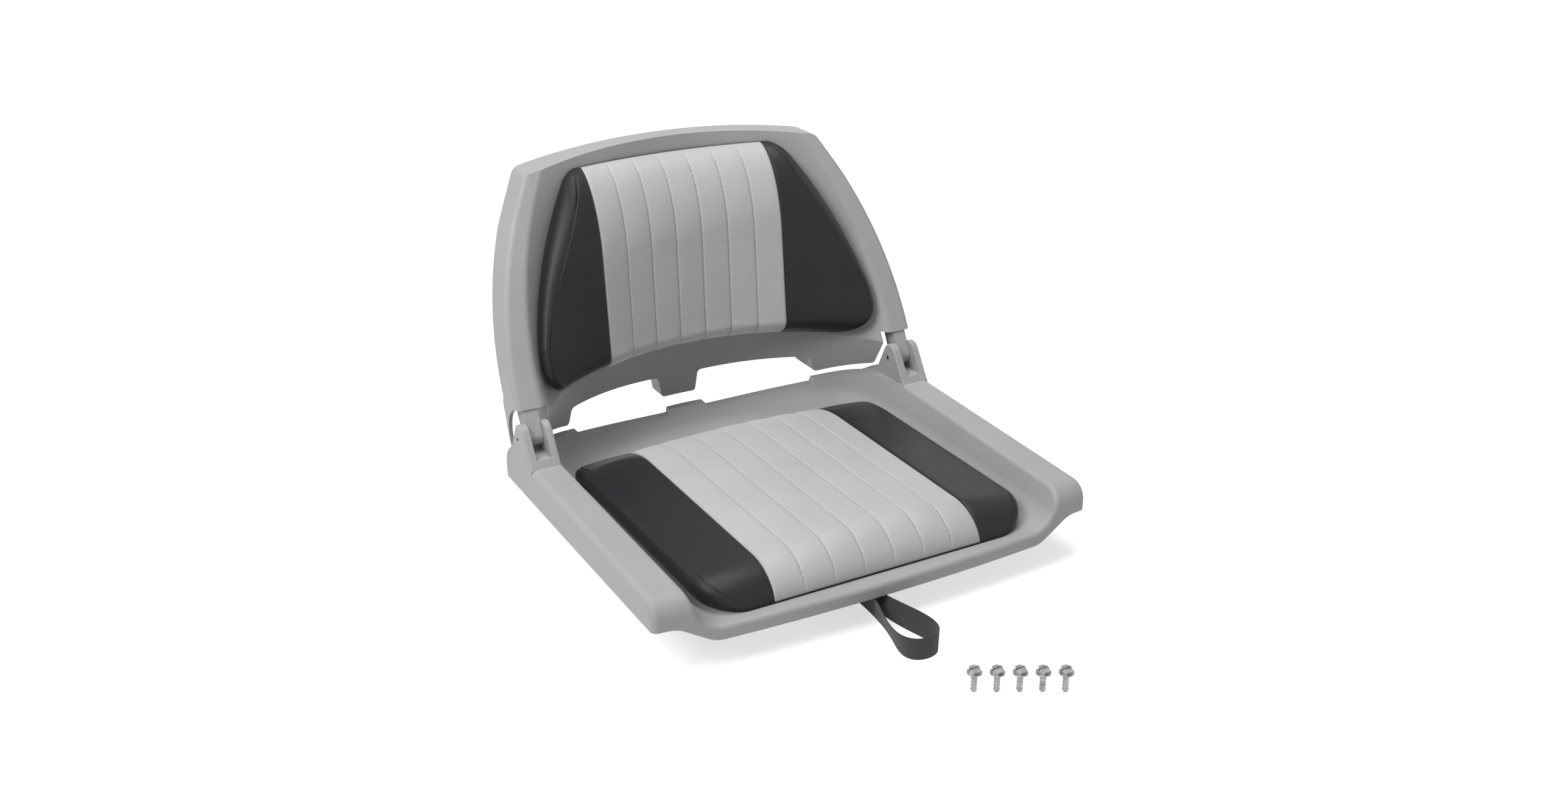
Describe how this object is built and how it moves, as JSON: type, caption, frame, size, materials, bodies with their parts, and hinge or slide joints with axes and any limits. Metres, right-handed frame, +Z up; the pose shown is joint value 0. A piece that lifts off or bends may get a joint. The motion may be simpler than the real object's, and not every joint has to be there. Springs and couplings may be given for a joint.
{
  "type": "folding boat seat",
  "caption": "Fold-down boat seat: moulded pan and hinged back shell, quilted vinyl cushions, webbing hold-down loop and loose mounting screws.",
  "frame": {"origin": "centre of the four-hole mounting pattern, on the flat underside of the base", "axes": "+Z up; the sitter faces -Y; +X is the sitter's left; the back's hinge axis runs along X"},
  "size_m": [0.49, 0.6847, 0.371],
  "materials": {
    "shell_plastic": "matte moulded, fine grain",
    "light_vinyl": "soft grained vinyl",
    "charcoal_vinyl": "soft grained vinyl",
    "webbing": "ribbed woven webbing",
    "steel": "zinc plated",
    "foam": "open-cell foam",
    "board": "plain board"
  },
  "bodies": {
    "seat": {"seat_shell": "shell_plastic", "hinge_pin_left": "steel", "hinge_pin_right": "steel", "seat_cover_centre": "light_vinyl", "seat_cover_left": "charcoal_vinyl", "seat_cover_right": "charcoal_vinyl", "seat_band_left": "charcoal_vinyl", "seat_band_right": "charcoal_vinyl", "seat_foam": "foam", "seat_board": "board", "seat_cushion_screws": "steel", "hold_down_strap": "webbing", "strap_rivet": "steel", "strap_washers": "steel", "mounting_screws": "steel"},
    "back": {"back_shell": "shell_plastic", "back_cover_centre": "light_vinyl", "back_cover_left": "charcoal_vinyl", "back_cover_right": "charcoal_vinyl", "back_band_left": "charcoal_vinyl", "back_band_right": "charcoal_vinyl", "back_foam": "foam", "back_board": "board", "back_cushion_screws": "steel"}
  },
  "joints": [
    {"name": "back_fold", "type": "hinge", "parent": "seat", "child": "back", "pos_m": [0, 0.1044, 0.112], "axis": [1, 0, 0], "range_deg": [0, 116]}
  ]
}
